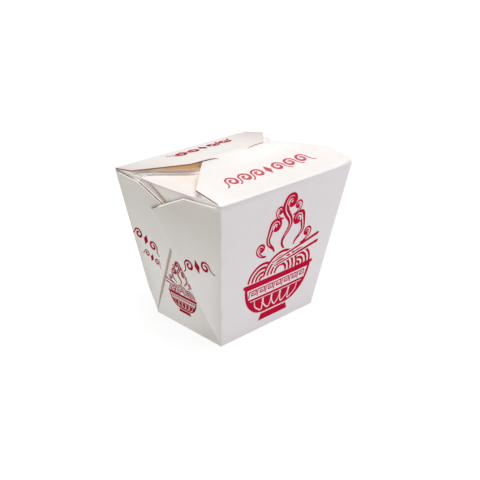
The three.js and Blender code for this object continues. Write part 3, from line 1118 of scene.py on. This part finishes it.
def inside_material():
    """The uncoated inner face: warmer, matt, with visible fibres, and darkened as painted shade
    where it shows.
    """
    n = Nodes("board_inside")
    base = n.ramp(n.noise(5, 4), (0.3, (0.66, 0.615, 0.58)), (0.7, (0.7, 0.655, 0.62)))
    fibre = n.ramp(n.noise(0.5, 5, 0.7, (1, 4, 1)), (0.3, (0.93, 0.92, 0.9)), (0.6, (1, 1, 1)))
    n.bump((n.noise(0.4, 5, 0.7, (1, 4, 1)), 0.04, 0.7))
    return n.finish(Base_Color=n.times(base, fibre), Roughness=0.85,
                    Specular_IOR_Level=0.25)


def lid_inside_material(name, dark, light, glow, strength):
    """A flap's underside, warm, with a painted glow for the light coming through the board and
    round it.
    """
    n = Nodes(name)
    return n.finish(Base_Color=n.ramp(n.noise(4, 4), (0.3, dark), (0.7, light)), Roughness=0.85,
                    Emission_Color=glow, Emission_Strength=strength, Specular_IOR_Level=0.25)


def edge_material(name, dark, light, glow=0):
    """Bare pulp where the board is cut, layered and fibrous; glow is painted light it gives off."""
    n = Nodes(name)
    pulp = n.ramp(n.noise(0.35, 5, 0.75), (0.25, dark), (0.75, light))
    n.bump((n.noise(0.15, 4, 0.7), 0.04, 0.8))
    return n.finish(Base_Color=pulp, Roughness=0.92, Specular_IOR_Level=0.2,
                    Emission_Color=pulp, Emission_Strength=glow)


def print_material(name, dark, light):
    """Crimson ink, laid a little unevenly."""
    n = Nodes(name)
    slow = n.ramp(n.noise(6, 3), (0.3, dark), (0.7, light))
    grain = n.ramp(n.noise(0.5, 4, 0.7), (0.25, (0.86, 0.8, 0.82)), (0.6, (1, 1, 1)))
    n.bump((n.noise(0.25, 4, 0.7), 0.01, 0.5))
    return n.finish(Base_Color=n.times(slow, grain), Roughness=0.5, Specular_IOR_Level=0)


FLOOR_GLOW = 0.87
FLOOR_HALF = 6  # metres
FLOOR_GAP = 0.05


def floor_material():
    """A white light table."""
    n = Nodes("studio_floor")
    tone = n.ramp(n.noise(60, 2), (0.3, (0.12, 0.12, 0.12)), (0.7, (0.14, 0.14, 0.14)))
    return n.finish(Base_Color=tone, Roughness=0.9, Emission_Color=(1, 1, 1),
                    Emission_Strength=FLOOR_GLOW, Specular_IOR_Level=0.1)


# ---- studio ----

def add_floor():
    mesh = bpy.data.meshes.new("floor")
    corners = ((-1, -1), (1, -1), (1, 1), (-1, 1))
    mesh.from_pydata([(FLOOR_HALF * x, FLOOR_HALF * y, 0) for x, y in corners], [], [(0, 1, 2, 3)])
    mesh.materials.append(floor_material())
    floor = add_object("floor", mesh)
    floor.location.z = -FLOOR_GAP * MM


def add_light(name, kind, place, target, energy, color, **settings):
    """A light at place that shines at target; for a sun only the direction counts."""
    data = bpy.data.lights.new(name, kind)
    data.energy = energy
    data.color = color
    for key, value in settings.items():
        setattr(data, key, value)
    light = add_object(name, data)
    light.location = place
    light.rotation_euler = (Vector(place) - Vector(target)).to_track_quat("Z", "Y").to_euler()


def add_studio():
    add_floor()
    world = bpy.data.worlds.new("studio")
    world.use_nodes = True
    background = world.node_tree.nodes["Background"]
    background.inputs["Color"].default_value = (1, 0.94, 0.86, 1)
    background.inputs["Strength"].default_value = 0.2
    bpy.context.scene.world = world
    add_light("overhead", "SUN", (0.05, -0.1, 1), (0, 0, 0), 3.7, (0.995, 1, 1),
              angle=radians(45))
    add_light("front_right", "AREA", (0.5, -0.7, 0.1), (0, 0, 0.03), 1.8, (0.78, 0.66, 1),
              shape="DISK", size=0.4)
    add_light("low_left", "AREA", (-0.5, 0.06, 0.05), (0, 0.02, 0.02), 0.36, (0.97, 1, 0.97),
              shape="DISK", size=0.2)
    bpy.context.scene.view_settings.view_transform = "Standard"


# ---- the box ----

def dress(piece, slot, *materials):
    for material in materials:
        piece.data.materials.append(material)
    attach(piece, "root")
    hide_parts("takeaway_box")


def build():
    add_camera()
    add_studio()
    finishes = [board_material(), inside_material(),
                edge_material("cut_edge", (0.22, 0.1, 0.08), (0.38, 0.2, 0.16)),
                # pale_edge: a painted highlight for edges that catch light, with a faint painted
                # glow
                edge_material("pale_edge", (0.9, 0.87, 0.85), (0.95, 0.93, 0.91), 0.12),
                # the front flap's underside: a pale copy with a strong painted glow
                lid_inside_material("front_flap_inside", (0.72, 0.68, 0.63), (0.78, 0.74, 0.69),
                                    (0.62, 0.575, 0.535), 1.2),
                # tan_edge: also painted shade, in the band at a rear web's inner edge and along its
                # diagonal fold
                edge_material("tan_edge", (0.48, 0.36, 0.29), (0.6, 0.47, 0.39))]
    for piece in (front_sheet(), side_sheet("left_side", -1), side_sheet("right_side", 1)):
        dress(piece, "board", *finishes)
    # the rear flap's underside: a warmer, darker copy with a weaker painted glow, for the deeper
    # shade under it
    finishes[LID_INSIDE] = lid_inside_material(
        "rear_flap_inside", (0.7, 0.6, 0.51), (0.76, 0.66, 0.57), (0.6, 0.51, 0.43), 0.85)
    dress(rear_sheet(), "board", *finishes)

    inks = {"wall": print_material("red_print", (0.5, 0.006, 0.036), (0.58, 0.01, 0.046)),
            "side": print_material("dark_red_print", (0.31, 0.008, 0.026), (0.38, 0.014, 0.034)),
            # paler ink on the lid: painted sheen where the top light falls
            "lid": print_material("sheen_red_print", (0.46, 0.07, 0.1), (0.54, 0.11, 0.135))}
    for part, piece in prints():
        dress(piece, "red_print", inks[part])


build()
